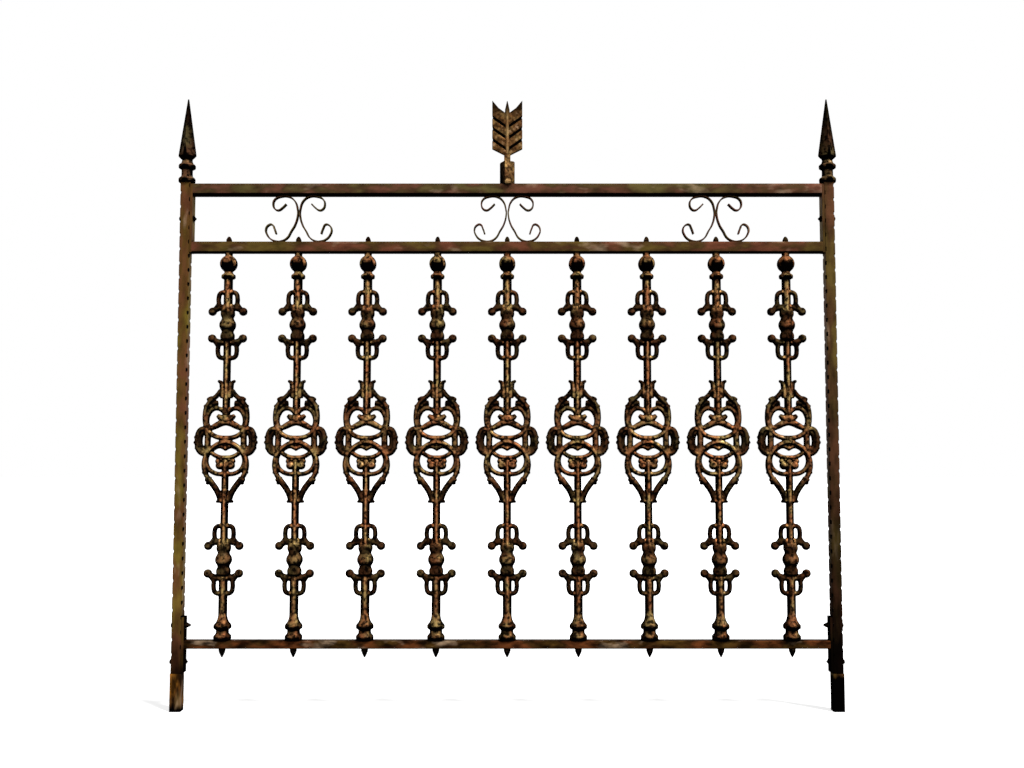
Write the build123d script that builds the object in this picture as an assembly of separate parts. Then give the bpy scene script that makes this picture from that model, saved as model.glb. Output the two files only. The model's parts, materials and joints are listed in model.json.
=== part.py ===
from build123d import *
import math
import os

# A free-standing wrought iron fence panel, in millimetres.
# X runs along the panel, the viewer stands at -Y, and Z is up.
# The origin is the centre of the left foot's flat underside.

# Layout
baluster_count = 9
baluster_pitch = 176
end_bay = 110  # post centre to the first or last baluster
scrolls_over = (2, 5, 8)  # balusters that carry a scroll pair above them

# Posts and the pressed steel caps over their feet
post_side = 25
post_wall = 2
post_top = 1317
cap_side = 27.5
cap_floor = 3
cap_height = 92
cap_clearance = 0.2

# Square-shanked bolts through the posts and end plates
bolt_side = 8
bolt_clearance = 0.3  # each side, in the square holes
bolt_head_d = 13
bolt_head_crown = 7
bolt_head_height = 5
bolt_nut_d = 13
bolt_nut_tip = 4
short_nut_height = 6
long_nut_height = 12
upper_bolt_drop = 88.5  # below the upper end plate's top
lower_bolt_drop = 22  # below the lower end plate's top
bottom_bolt_rise = 25  # above the lower end plate's foot

# Rails, each a rectangular tube
rail_depth = 25
rail_wall = 2
top_rail_z = 1283.5
top_rail_height = 30
middle_rail_z = 1137
middle_rail_height = 28
bottom_rail_z = 152
bottom_rail_height = 20

# End plates between the rails' ends and the posts
plate_thickness = 6
lower_plate_z = 94
lower_plate_height = 136

# Balusters
shaft_width = 17.5  # across the corners
upper_shaft_width = 21
lower_shaft_width = 20.5
upper_shaft_end = 150  # below the middle rail
ornament_thickness = 12
ball_d = 43
ball_drop = 27  # ball's centre below the middle rail
ball_neck = 24
ball_shoulder_d = 34
ball_shoulder_drop = 40
collar_d = 34
collar_drop = 56
collar_height = 12
collar_cove = 6  # height from the collar's top up to the neck under the ball
foot_collar_d = 42
foot_collar_height = 10
foot_waist_d = 32
foot_waist_height = 15
foot_flare = 22
upper_spray_drop = 183  # spray's centre below the middle rail
medallion_drop = 475
medallion_shaft_top = 68  # where the upper shaft ends, above the medallion's centre
medallion_shaft_foot = 122  # where the lower shaft ends, below it
lower_spray_rise = 196.5  # spray's centre above the bottom rail
tenon_side = 9  # square tenon through the middle rail
tenon_point = 16  # pointed end above the rail
tenon_tip = 1.5
stud_side = 8  # square stud through the bottom rail
stud_grip = 6  # length of stud inside each cone nut
punch_clearance = 0.3  # each side, in the rails' square holes
nut_d = 18
nut_height = 22
nut_tip = 4

# Scrolls of flat bar
scroll_bar = 4
scroll_depth = 13
scroll_seat = 0.1  # weld gap at the rails and between the two backs
scroll_top_reach = 67  # from the pair's axis to the upper curl's outermost point
scroll_foot_reach = 84

# Spear finials
spear_width = 45
spear_tip = 3
spear_length = 148
spear_bevel = 10
spear_neck = 27
collar_ring_d = 42
collar_ring_height = 20
neck_side = 25
neck_height = 18
base_ring_d = 41
base_ring_height = 16
ring_chamfer = 4
spigot_length = 30
spigot_clearance = 0.3

# Feather finial and its socket
socket_side = 28
socket_turn = 27  # degrees, from square to the panel
socket_height = 59
socket_chamfer = 5
feather_width = 76.6
feather_height = 158
feather_thickness = 8
feather_rib_width = 9
feather_rib_thickness = 13
feather_stem = 16
feather_stem_height = 13
feather_vee = 19  # rise of the vanes' lower edge
feather_notch = 36  # depth of the notch beside the centre spike
feather_spike = 13
groove_width = 5
groove_depth = 2
groove_rise = 26
groove_pitch = 29
groove_first = 30  # lowest groove's inner end above the stem's foot
groove_count = 3

# Worked out from the sizes above
post_spacing = (baluster_count - 1) * baluster_pitch + 2 * end_bay
rail_start = post_side / 2 + plate_thickness
rail_end = post_spacing - rail_start
baluster_xs = [end_bay + i * baluster_pitch for i in range(baluster_count)]
top_rail_top = top_rail_z + top_rail_height
middle_rail_top = middle_rail_z + middle_rail_height
bottom_rail_top = bottom_rail_z + bottom_rail_height
scroll_gap = top_rail_z - middle_rail_top
baluster_length = middle_rail_z - bottom_rail_top
feather_x = post_spacing / 2
socket_top = top_rail_top + socket_height
upper_bolt_z = top_rail_top - upper_bolt_drop
lower_bolt_z = lower_plate_z + lower_plate_height - lower_bolt_drop
bottom_bolt_z = lower_plate_z + bottom_bolt_rise


def bar(size_x, size_y, low_z, high_z):
    """A rectangular bar standing on the axis between two heights."""
    middle = (low_z + high_z) / 2
    return Pos(0, 0, middle) * Box(size_x, size_y, high_z - low_z)


def turning(levels, sides=8):
    """A faceted turning on the axis: levels are (height, width across flats)."""
    rings = []
    for z, across in levels:
        corner = across / 2 / math.cos(math.pi / sides)
        angles = [(i + 0.5) * 2 * math.pi / sides for i in range(sides)]
        rings.append([(corner * math.cos(a), corner * math.sin(a), z) for a in angles])
    faces = [outline(*rings[0]), outline(*rings[-1])]
    for low, high in zip(rings, rings[1:]):
        for i in range(sides):
            j = (i + 1) % sides
            faces.append(outline(low[i], low[j], high[j], high[i]))
    return Solid(Shell([face.face() for face in faces]))


def outline(*points):
    return make_face(Polyline(*points, close=True))


def strip(width, *points):
    """The outline of a bar of one width with straight runs between its middle line's points."""
    left = []
    right = []
    for i, (x, z) in enumerate(points):
        before = points[max(i - 1, 0)]
        after = points[min(i + 1, len(points) - 1)]
        along = Vector(after[0] - before[0], after[1] - before[1]).normalized()
        left.append((x - along.Y * width / 2, z + along.X * width / 2))
        right.append((x + along.Y * width / 2, z - along.X * width / 2))
    return outline(*left, *reversed(right))


def ridged_bar(width, low_z, high_z):
    """A square bar turned so that one corner faces the viewer: its width is across its corners."""
    across_flats = width / math.sqrt(2)
    return Rot(0, 0, 45) * bar(across_flats, across_flats, low_z, high_z)


def both_sides(shape):
    return shape + mirror(shape, Plane.YZ)


def plate_from(sketch, thickness):
    """A flat outline stood up in the panel's plane, with its thickness shared front and back."""
    return extrude(Plane.XZ.offset(-thickness / 2) * sketch, thickness)


def on_right(shape):
    """The same piece made for the right post, turned to face the panel."""
    return Pos(post_spacing, 0, 0) * mirror(shape, Plane.YZ)


# Posts
def bolt_hole(z):
    hole = bolt_side + 2 * bolt_clearance
    return Pos(0, 0, z) * Box(4 * post_side, hole, hole)


def make_post():
    inside = post_side - 2 * post_wall
    tube = bar(post_side, post_side, cap_floor, post_top)
    tube -= bar(inside, inside, cap_floor, post_top)
    return tube - [bolt_hole(z) for z in (upper_bolt_z, lower_bolt_z, bottom_bolt_z)]


def make_foot_cap():
    inside = post_side + 2 * cap_clearance
    return bar(cap_side, cap_side, 0, cap_height) - bar(inside, inside, cap_floor, cap_height)


def make_bolt(z, nut_height):
    """A domed bolt along +X through post and plate, with its pointed nut tight on the inner end."""
    outer = -post_side / 2
    inner = post_side / 2 + plate_thickness
    head = turning([(outer - bolt_head_height, bolt_head_crown), (outer, bolt_head_d)], sides=6)
    shank = turning([(outer, bolt_side), (inner, bolt_side)], sides=4)
    nut = turning([(inner, bolt_nut_d), (inner + nut_height, bolt_nut_tip)], sides=6)
    return Pos(0, 0, z) * Rot(0, 90, 0) * (head + shank + nut)


def make_end_plate(low_z, high_z, bolt_zs):
    plate = Pos(post_side / 2 + plate_thickness / 2, 0, 0) * bar(plate_thickness, rail_depth, low_z, high_z)
    return plate - [bolt_hole(z) for z in bolt_zs]


# Rails
def make_rail(low_z, height, hole_side=0):
    length = rail_end - rail_start
    middle = Pos((rail_start + rail_end) / 2, 0, low_z + height / 2)
    tube = middle * Box(length, rail_depth, height)
    tube -= middle * Box(length, rail_depth - 2 * rail_wall, height - 2 * rail_wall)
    if hole_side:
        punch = bar(hole_side, hole_side, low_z - 1, low_z + height + 1)
        tube -= [Pos(x, 0, 0) * punch for x in baluster_xs]
    return tube


# Baluster ornaments, each drawn in its own frame with its centre at the origin
def make_spray():
    """The spray of two eared loops and four knobbed arms about a central bulb."""
    quarter = outline((0, 88), (19, 88), (29, 76), (28, 54), (47, 41), (46, 25), (22, 36), (0, 36))
    quarter -= outline((11, 73), (18, 74), (20, 57), (11, 53))
    upper = both_sides(quarter)
    bulb = turning([(-34, 27), (-13, 25), (0, 42), (13, 25), (34, 27)], sides=4)
    return plate_from(upper + mirror(upper, Plane.XZ), ornament_thickness) + bulb


def medallion_outline():
    """The open medallion: leaf tips, paired scrolls, crossing bands and side ears, drawn as one half."""
    half = outline((0, 130), (24, 153), (18, 127), (30, 109), (49, 105), (59, 72), (55, 31),
                   (70, 23), (80, -1), (70, -25), (55, -34), (60, -54), (46, -107), (20, -122),
                   (14, -146), (24, -153), (0, -153))
    top_gap = outline((9, 114), (22, 98), (9, 86))
    scroll_opening = outline((8, 64), (20, 75), (36, 71), (43, 53), (37, 34), (15, 47), (25, 60), (13, 59))
    eye = outline((0, 37), (28, 22), (0, 16))
    side_opening = outline((22, 2), (37, 9), (38, -8), (24, -5))
    ear_opening = outline((49, 21), (64, 12), (64, -14), (49, -25))
    smile = outline((0, -24), (14, -14), (27, -19), (14, -35), (0, -35))
    curl_opening = outline((22, -39), (34, -37), (41, -54), (29, -76), (22, -68))
    foot_gap = outline((5, -86), (34, -89), (9, -121))
    for opening in (top_gap, scroll_opening, eye, side_opening, ear_opening, smile, curl_opening, foot_gap):
        half -= opening
    return both_sides(half)


def make_head():
    """The collar and ball at the baluster's top, under the middle rail at height 0."""
    collar_foot = -collar_drop - collar_height
    cove_z = collar_cove - collar_drop
    return turning([(collar_foot, collar_d), (-collar_drop, collar_d), (cove_z, upper_shaft_width),
                    (-ball_shoulder_drop, ball_shoulder_d), (-ball_drop, ball_d), (0, ball_neck)])


def make_foot():
    """The two collars, waist and flare at the baluster's foot, standing on height 0."""
    lower_top = foot_collar_height
    upper_foot = lower_top + foot_waist_height
    upper_top = upper_foot + foot_collar_height
    waist_z = (lower_top + upper_foot) / 2
    flare_top = upper_top + foot_flare
    return turning([(0, foot_collar_d), (lower_top, foot_collar_d), (waist_z, foot_waist_d),
                    (upper_foot, foot_collar_d), (upper_top, foot_collar_d), (flare_top, lower_shaft_width)])


def make_baluster():
    """One cast baluster, hanging from the middle rail's underside at height 0, with its tenon and stud."""
    foot = -baluster_length
    medallion_z = -medallion_drop
    tenon_top = middle_rail_height + tenon_point
    stud_end = foot - bottom_rail_height - stud_grip
    lower_spray_z = foot + lower_spray_rise
    body = ridged_bar(lower_shaft_width, foot + foot_collar_height, lower_spray_z)
    body += ridged_bar(shaft_width, lower_spray_z, medallion_z - medallion_shaft_foot)
    body += ridged_bar(shaft_width, medallion_z + medallion_shaft_top, -upper_shaft_end)
    body += ridged_bar(upper_shaft_width, -upper_shaft_end, -collar_drop)
    body += make_head()
    body += Pos(0, 0, foot) * make_foot()
    body += Pos(0, 0, -upper_spray_drop) * make_spray()
    body += Pos(0, 0, lower_spray_z) * make_spray()
    body += Pos(0, 0, medallion_z) * plate_from(medallion_outline(), ornament_thickness)
    body += turning([(0, tenon_side), (middle_rail_height, tenon_side), (tenon_top, tenon_tip)], sides=4)
    return body + bar(stud_side, stud_side, stud_end, foot)


def make_cone_nut():
    """A pointed nut hanging from height 0, with a blind bore for its stud."""
    nut = turning([(-nut_height, nut_tip), (0, nut_d)], sides=6)
    return nut - bar(stud_side, stud_side, -stud_grip, 0)


# Scrolls
def make_scroll():
    """The left scroll of a pair, with its back at the pair's axis and the middle rail at height 0."""
    edge = scroll_bar / 2 + scroll_seat
    top = scroll_gap - edge
    waist = scroll_gap * 0.68
    high = -scroll_top_reach
    low = -scroll_foot_reach
    upper_curl = [(high + 32, top - 21), (high + 20, top - 32), (high + 6, top - 28), (high, top - 15),
                  (high + 7, top - 4), (high + 21, top)]
    back = [(-26, top), (-10, top - 11), (-edge, waist + 5), (-edge, waist - 6), (-10, waist - 38),
            (-32, edge + 3)]
    lower_curl = [(low + 33, edge), (low + 21, edge), (low + 6, edge + 12), (low, edge + 29),
                  (low + 9, edge + 44), (low + 25, edge + 32)]
    return plate_from(strip(scroll_bar, *upper_curl, *back, *lower_curl), scroll_depth)


# Finials
def make_spear():
    """A four-sided spear on a collar, neck and ring, with a spigot that drops into the post."""
    neck_foot = base_ring_height
    collar_foot = neck_foot + neck_height
    collar_top = collar_foot + collar_ring_height
    spear_foot = collar_top + spear_bevel / 2
    spear_wide = spear_foot + spear_bevel
    diagonal = math.sqrt(2)
    ring_foot_d = base_ring_d - 2 * ring_chamfer
    ring_top = neck_foot - ring_chamfer
    collar_low = collar_foot + ring_chamfer
    collar_high = collar_top - 2 * ring_chamfer
    stack = turning([(0, ring_foot_d), (ring_chamfer, base_ring_d), (ring_top, base_ring_d),
                     (neck_foot, neck_side), (collar_foot, neck_side), (collar_low, collar_ring_d),
                     (collar_high, collar_ring_d), (collar_top, spear_neck), (spear_foot, spear_neck)])
    spear = turning([(spear_foot, spear_neck / diagonal), (spear_wide, spear_width / diagonal),
                     (spear_wide + spear_length, spear_tip / diagonal)], sides=4)
    spigot_side = post_side - 2 * post_wall - 2 * spigot_clearance
    spigot = bar(spigot_side, spigot_side, -spigot_length, 0)
    return Pos(0, 0, post_top) * (stack + Rot(0, 0, 45) * spear + spigot)


def make_socket():
    block = Rot(0, 0, socket_turn) * bar(socket_side, socket_side, top_rail_top, socket_top)
    return chamfer(block.faces().sort_by(Axis.Z)[-1].edges(), socket_chamfer)


def make_feather():
    """A flat arrow feather with a ribbed quill, three grooves in each vane and a spiked notch."""
    half = feather_width / 2
    stem = feather_stem / 2
    rib = feather_rib_width / 2
    notch_z = feather_height - feather_notch
    vane_z = feather_stem_height + feather_vee
    vane = outline((0, 0), (stem, 0), (stem, feather_stem_height), (half, vane_z), (half, feather_height),
                   (feather_spike / 2, notch_z), (0, feather_height))
    quill = outline((0, 0), (rib, 0), (rib, notch_z), (0, feather_height))
    body = plate_from(both_sides(vane), feather_thickness)
    for i in range(groove_count):
        foot = groove_first + i * groove_pitch
        line = strip(groove_width, (0, foot), (half + groove_width, foot + groove_rise))
        for side in (-1, 1):
            face_y = side * (feather_thickness - groove_depth) / 2
            body -= Pos(0, face_y, 0) * plate_from(both_sides(line), groove_depth)
    return Pos(0, 0, socket_top) * (body + plate_from(both_sides(quill), feather_rib_thickness))


# Every node of the panel
nodes = {}
post = make_post()
foot_cap = make_foot_cap()
spear = make_spear()
nodes["left_post"] = post
nodes["right_post"] = on_right(post)
nodes["left_foot_cap"] = foot_cap
nodes["right_foot_cap"] = on_right(foot_cap)
nodes["left_spear_finial"] = spear
nodes["right_spear_finial"] = on_right(spear)

nodes["top_rail"] = make_rail(top_rail_z, top_rail_height)
nodes["middle_rail"] = make_rail(middle_rail_z, middle_rail_height, tenon_side + 2 * punch_clearance)
nodes["bottom_rail"] = make_rail(bottom_rail_z, bottom_rail_height, stud_side + 2 * punch_clearance)

upper_plate = make_end_plate(middle_rail_z, top_rail_top, (upper_bolt_z,))
lower_plate = make_end_plate(lower_plate_z, lower_plate_z + lower_plate_height, (lower_bolt_z, bottom_bolt_z))
nodes["left_upper_end_plate"] = upper_plate
nodes["right_upper_end_plate"] = on_right(upper_plate)
nodes["left_lower_end_plate"] = lower_plate
nodes["right_lower_end_plate"] = on_right(lower_plate)

bolts = {
    "upper": make_bolt(upper_bolt_z, short_nut_height),
    "lower": make_bolt(lower_bolt_z, long_nut_height),
    "bottom": make_bolt(bottom_bolt_z, short_nut_height),
}
for place, bolt in bolts.items():
    nodes[f"left_{place}_bolt"] = bolt
    nodes[f"right_{place}_bolt"] = on_right(bolt)

baluster = make_baluster()
for number, x in enumerate(baluster_xs, start=1):
    nodes[f"baluster_{number}"] = Pos(x, 0, middle_rail_z) * baluster

cone_nut = make_cone_nut()
nodes["baluster_nuts"] = Compound([Pos(x, 0, bottom_rail_z) * cone_nut for x in baluster_xs])

scroll = make_scroll()
for number, over in enumerate(scrolls_over, start=1):
    place = Pos(baluster_xs[over - 1], 0, middle_rail_top)
    nodes[f"scroll_{number}_left"] = place * scroll
    nodes[f"scroll_{number}_right"] = place * mirror(scroll, Plane.YZ)

nodes["feather_socket"] = Pos(feather_x, 0, 0) * make_socket()
nodes["feather_finial"] = Pos(feather_x, 0, 0) * make_feather()

os.makedirs("parts", exist_ok=True)
for name, shape in nodes.items():
    export_step(shape, f"parts/{name}.step")
print(len(nodes), "nodes written")
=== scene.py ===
import json
import math

import bpy
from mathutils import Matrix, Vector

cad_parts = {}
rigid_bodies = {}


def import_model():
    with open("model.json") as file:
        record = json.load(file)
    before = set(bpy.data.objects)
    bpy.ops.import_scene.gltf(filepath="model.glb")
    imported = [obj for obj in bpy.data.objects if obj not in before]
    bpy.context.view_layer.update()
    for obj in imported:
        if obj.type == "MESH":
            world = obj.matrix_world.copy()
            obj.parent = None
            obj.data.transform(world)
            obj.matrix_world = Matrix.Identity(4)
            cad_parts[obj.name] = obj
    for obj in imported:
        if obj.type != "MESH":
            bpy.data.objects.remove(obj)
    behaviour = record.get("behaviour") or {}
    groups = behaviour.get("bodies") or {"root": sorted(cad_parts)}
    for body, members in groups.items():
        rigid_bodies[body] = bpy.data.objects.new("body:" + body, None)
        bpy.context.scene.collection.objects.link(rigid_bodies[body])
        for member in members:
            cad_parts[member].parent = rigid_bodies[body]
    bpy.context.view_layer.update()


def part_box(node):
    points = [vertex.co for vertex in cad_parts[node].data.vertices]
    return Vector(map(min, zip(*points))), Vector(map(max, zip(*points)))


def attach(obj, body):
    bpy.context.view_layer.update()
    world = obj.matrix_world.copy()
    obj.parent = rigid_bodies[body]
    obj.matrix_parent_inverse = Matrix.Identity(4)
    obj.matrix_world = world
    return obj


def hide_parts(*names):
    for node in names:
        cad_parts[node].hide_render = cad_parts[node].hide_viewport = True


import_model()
print("frame loaded")

mm = 0.001  # every size below is written in millimetres
hair = 0.2  # how far off its place a point may be and still be picked


# Small helpers

def deselectAll():
    if bpy.context.object and bpy.context.object.mode != "OBJECT":
        bpy.ops.object.mode_set(mode="OBJECT")
    bpy.ops.object.select_all(action="DESELECT")


def pickOnly(piece):
    deselectAll()
    piece.select_set(True)
    bpy.context.view_layer.objects.active = piece


def bakePlace(piece):  # moves the object's place into its mesh
    pickOnly(piece)
    bpy.ops.object.transform_apply(location=True, rotation=True, scale=True)


def applyModifier(piece, kind, **settings):
    pickOnly(piece)
    modifier = piece.modifiers.new(kind.title(), kind)
    for key, value in settings.items():
        setattr(modifier, key, value)
    bpy.ops.object.modifier_apply(modifier=modifier.name)


def joinPieces(name, pieces):
    deselectAll()
    for piece in pieces:
        piece.select_set(True)
    bpy.context.view_layer.objects.active = pieces[0]
    bpy.ops.object.join()
    pieces[0].name = name
    return pieces[0]


def clearPicks(piece, kind):  # nothing picked, and back in object mode
    pickOnly(piece)
    bpy.ops.object.mode_set(mode="EDIT")
    bpy.ops.mesh.select_mode(type=kind)
    bpy.ops.mesh.select_all(action="DESELECT")
    bpy.ops.object.mode_set(mode="OBJECT")


def pickFaces(piece, test):  # edit mode, faces picked by their centre and normal
    clearPicks(piece, "FACE")
    for face in piece.data.polygons:
        face.select = test(face.center, face.normal)
    bpy.ops.object.mode_set(mode="EDIT")


def pickPoints(piece, test):  # edit mode, points picked by their place in millimetres
    clearPicks(piece, "VERT")
    for point in piece.data.vertices:
        point.select = test(*[c / mm for c in point.co])
    bpy.ops.object.mode_set(mode="EDIT")


def pickEdges(piece, axis):  # edit mode, edges that run along one axis
    clearPicks(piece, "EDGE")
    points = piece.data.vertices
    for edge in piece.data.edges:
        along = (points[edge.vertices[0]].co - points[edge.vertices[1]].co).normalized()
        edge.select = abs(along[axis]) > 0.99
    bpy.ops.object.mode_set(mode="EDIT")


def turnFacesOut():  # from edit mode back to object mode
    bpy.ops.mesh.select_all(action="SELECT")
    bpy.ops.mesh.normals_make_consistent(inside=False)
    bpy.ops.object.mode_set(mode="OBJECT")


def moveTo(piece, x=0, y=0, z=0, turn=(0, 0, 0)):
    piece.location = (x * mm, y * mm, z * mm)
    piece.rotation_euler = [math.radians(a) for a in turn]
    bakePlace(piece)
    return piece


def copyOf(piece, name):
    twin = piece.copy()
    twin.data = piece.data.copy()
    twin.name = name
    bpy.context.scene.collection.objects.link(twin)
    return twin


def flipSide(piece):  # mirrored across X = 0, with its faces turned out again
    piece.scale = (-1, 1, 1)
    bakePlace(piece)
    bpy.ops.object.mode_set(mode="EDIT")
    turnFacesOut()
    return piece


def smoothShade(piece, degrees=35):
    pickOnly(piece)
    bpy.ops.object.shade_smooth_by_angle(angle=math.radians(degrees))


def addBlock(name, low, high):
    deselectAll()
    centre = [(a + b) / 2 * mm for a, b in zip(low, high)]
    bpy.ops.mesh.primitive_cube_add(size=1, location=centre)
    block = bpy.context.object
    block.name = name
    block.scale = [(b - a) * mm for a, b in zip(low, high)]
    bakePlace(block)
    return block


def addTurning(name, steps, sides, turn=0):  # a lathe form: steps are (height, radius)
    deselectAll()
    startZ, startR = steps[0]
    bpy.ops.mesh.primitive_circle_add(vertices=sides, radius=startR * mm, fill_type="NGON",
                                      location=(0, 0, startZ * mm), rotation=(0, 0, turn))
    form = bpy.context.object
    form.name = name
    bakePlace(form)
    bpy.ops.object.mode_set(mode="EDIT")
    bpy.ops.mesh.select_all(action="SELECT")
    for (lowZ, lowR), (highZ, highR) in zip(steps, steps[1:]):
        bpy.ops.mesh.extrude_region_move(TRANSFORM_OT_translate={"value": (0, 0, (highZ - lowZ) * mm)})
        size = highR / lowR
        bpy.ops.transform.resize(value=(size, size, 1), center_override=(0, 0, highZ * mm))
    turnFacesOut()
    return form


def ovalSection(name, width, depth):  # the section that a cast strand is drawn out to
    deselectAll()
    bpy.ops.curve.primitive_bezier_circle_add(radius=0.5 * mm)
    section = bpy.context.object
    section.name = name
    section.scale = (width, depth, 1)
    bpy.ops.object.transform_apply(location=False, rotation=False, scale=True)
    section.data.resolution_u = 4
    return section


def flatSection(name, width, depth, ease):  # the section of a flat bar with eased corners
    deselectAll()
    bpy.ops.curve.primitive_bezier_curve_add()
    section = bpy.context.object
    section.name = name
    section.data.dimensions = "2D"
    halfW = width / 2
    halfD = depth / 2
    corners = [(halfW, halfD - ease), (halfW - ease, halfD), (ease - halfW, halfD), (-halfW, halfD - ease),
               (-halfW, ease - halfD), (ease - halfW, -halfD), (halfW - ease, -halfD), (halfW, ease - halfD)]
    line = section.data.splines[0]
    line.bezier_points.add(len(corners) - len(line.bezier_points))
    line.use_cyclic_u = True
    for point, (x, y) in zip(line.bezier_points, corners):
        point.co = (x * mm, y * mm, 0)
        point.handle_left_type = "VECTOR"
        point.handle_right_type = "VECTOR"
    section.data.resolution_u = 1
    return section


def addStrand(name, points, section, side=1, resolution=6):
    # A bar drawn out along (x, height, taper) points, lying flat in the panel's plane.
    deselectAll()
    bpy.ops.curve.primitive_bezier_curve_add()
    strand = bpy.context.object
    strand.name = name
    strand.data.dimensions = "3D"
    strand.data.twist_mode = "Z_UP"
    strand.data.resolution_u = resolution
    line = strand.data.splines[0]
    line.bezier_points.add(len(points) - len(line.bezier_points))
    for point, (x, height, taper) in zip(line.bezier_points, points):
        point.co = (side * x * mm, height * mm, 0)
        point.radius = taper
        point.handle_left_type = "AUTO"
        point.handle_right_type = "AUTO"
    strand.data.bevel_mode = "OBJECT"
    strand.data.bevel_object = section
    strand.data.use_fill_caps = True
    pickOnly(strand)
    bpy.ops.object.convert(target="MESH")
    bpy.data.objects.remove(section)
    return strand


def addBead(name, x, height, radius, depth, squash=1):  # a lump, squashed or drawn out in height
    deselectAll()
    bpy.ops.mesh.primitive_uv_sphere_add(segments=20, ring_count=12, radius=1,
                                         location=(x * mm, height * mm, 0))
    bead = bpy.context.object
    bead.name = name
    bead.scale = (radius * mm, radius * squash * mm, depth / 2 * mm)
    bakePlace(bead)
    return bead


def fuseCasting(piece, voxel, keptShare):  # melts overlapping forms into one cast skin
    applyModifier(piece, "REMESH", mode="VOXEL", voxel_size=voxel * mm)
    applyModifier(piece, "SMOOTH", factor=0.5, iterations=2)
    applyModifier(piece, "DECIMATE", ratio=keptShare)
    smoothShade(piece, 50)


def easeEdges(piece, axis, width):  # the rounded long corners of a drawn tube or bar
    pickEdges(piece, axis)
    bpy.ops.mesh.bevel(offset=width * mm, segments=3, affect="EDGES")
    bpy.ops.object.mode_set(mode="OBJECT")
    smoothShade(piece)


def finishPiece(piece, material, slot, *nodes):
    piece.data.materials.append(material)
    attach(piece, "root")
    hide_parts(*nodes)


# The frame's heights and places, in millimetres

def boxOf(node):
    low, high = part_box(node)
    return [c / mm for c in low], [c / mm for c in high]


def middleXOf(node):
    low, high = boxOf(node)
    return (low[0] + high[0]) / 2


topRailFoot = boxOf("top_rail")[0][2]
middleRailFoot, middleRailTop = [corner[2] for corner in boxOf("middle_rail")]
bottomRailFoot, bottomRailTop = [corner[2] for corner in boxOf("bottom_rail")]
sides = ("left", "right")
postTop = boxOf("left_post")[1][2]
featherTop = boxOf("feather_finial")[1][2]
balusterX = [middleXOf(f"baluster_{number}") for number in range(1, 10)]
medallionDrop = 475  # from the middle rail down to the medallions' middle
heart = middleRailFoot - medallionDrop


# Materials

def colour(hexText):  # an sRGB hex value turned to linear
    parts = [int(hexText[i:i + 2], 16) / 255 for i in (1, 3, 5)]
    return [p / 12.92 if p <= 0.04045 else ((p + 0.055) / 1.055) ** 2.4 for p in parts] + [1]


def addNode(tree, kind, values=None, links=None, **settings):
    node = tree.nodes.new("ShaderNode" + kind)
    for key, value in settings.items():
        setattr(node, key, value)
    for key, value in (values or {}).items():
        node.inputs[key].default_value = value
    for key, source in (links or {}).items():
        tree.links.new(source, node.inputs[key])
    return node


levelSpan = 1600  # the height that a look's bands are measured along


def bandShares(tree, look, spot):  # by height: red beside the balusters' axes, green on them, blue for the bulges' painted shade
    level = addNode(tree, "MapRange", {"From Max": levelSpan * mm},
                    {"Value": spot.outputs["Z"]}).outputs["Result"]
    bands = addNode(tree, "ValToRGB", None, {"Fac": level})
    stops = bands.color_ramp.elements
    for height, besideShare, axisShare, bulgeShare in look["bands"]:
        stops.new(height / levelSpan).color = (besideShare, axisShare, bulgeShare, 1)
    stops.remove(stops[0])
    stops.remove(stops[-1])
    return addNode(tree, "SeparateColor", None, {"Color": bands.outputs["Color"]})


def proudAndLitShare(tree, look, spot, normal, shares):  # by the way a face looks, with painted light on upward faces and painted shade on undersides, sides and bulge rims, and by how far forward it stands
    litFacing = addNode(tree, "Math", {1: look["upLitCover"]}, {0: normal.outputs["Z"]},
                     operation="MULTIPLY").outputs[0]
    for axis, cover in (("Y", "frontCover"), ("X", "endCover")):
        lean = addNode(tree, "Math", None, {0: normal.outputs[axis]}, operation="ABSOLUTE").outputs[0]
        litFacing = addNode(tree, "Math", {1: look[cover]}, {0: lean, 2: litFacing},
                         operation="MULTIPLY_ADD").outputs[0]
    forward = addNode(tree, "Math", None, {0: spot.outputs["Y"]}, operation="ABSOLUTE").outputs[0]
    fronted = addNode(tree, "MapRange", {"From Min": look["depthFrom"] * mm,
                      "From Max": look["depthFull"] * mm, "To Max": look["depthCover"]},
                      {"Value": forward}).outputs["Result"]
    litFacing = addNode(tree, "Math", None, {0: litFacing, 1: fronted}, operation="ADD").outputs[0]
    bulgeShade = addNode(tree, "MapRange", {"From Min": look["bulgeShadeFrom"] * mm,
                    "From Max": (look["bulgeShadeFrom"] + look["bulgeShadeFade"]) * mm, "To Max": look["bulgeShadeLoss"]},
                    {"Value": forward}).outputs["Result"]
    bulgeShade = addNode(tree, "Math", None, {0: bulgeShade, 1: shares.outputs["Blue"]},
                    operation="MULTIPLY").outputs[0]
    litFacing = addNode(tree, "Math", None, {0: litFacing, 1: bulgeShade}, operation="SUBTRACT").outputs[0]
    return addNode(tree, "MapRange", {"From Min": look["proudLow"], "From Max": look["proudHigh"]},
                   {"Value": litFacing}).outputs["Result"]


def axisShares(tree, look, spot, shares):  # by the distance from the nearest baluster's axis
    aside = addNode(tree, "Math", {1: look["firstAxis"] * mm}, {0: spot.outputs["X"]},
                    operation="SUBTRACT").outputs[0]
    aside = addNode(tree, "Math", {1: look["axisPitch"] / 2 * mm}, {0: aside},
                    operation="PINGPONG").outputs[0]
    eared = addNode(tree, "MapRange", {"From Min": look["earFrom"] * mm,
                    "From Max": look["earFull"] * mm, "To Min": 1, "To Max": look["earShare"]},
                    {"Value": aside}).outputs["Result"]
    beside = addNode(tree, "MapRange", {"From Min": look["axisHalf"] * mm,
                     "From Max": look["besideFrom"] * mm}, {"Value": aside}).outputs["Result"]
    banded = addNode(tree, "Mix", None, {"Factor": beside, "A": shares.outputs["Green"],
                     "B": shares.outputs["Red"]}, data_type="FLOAT").outputs["Result"]
    return banded, eared


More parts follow.
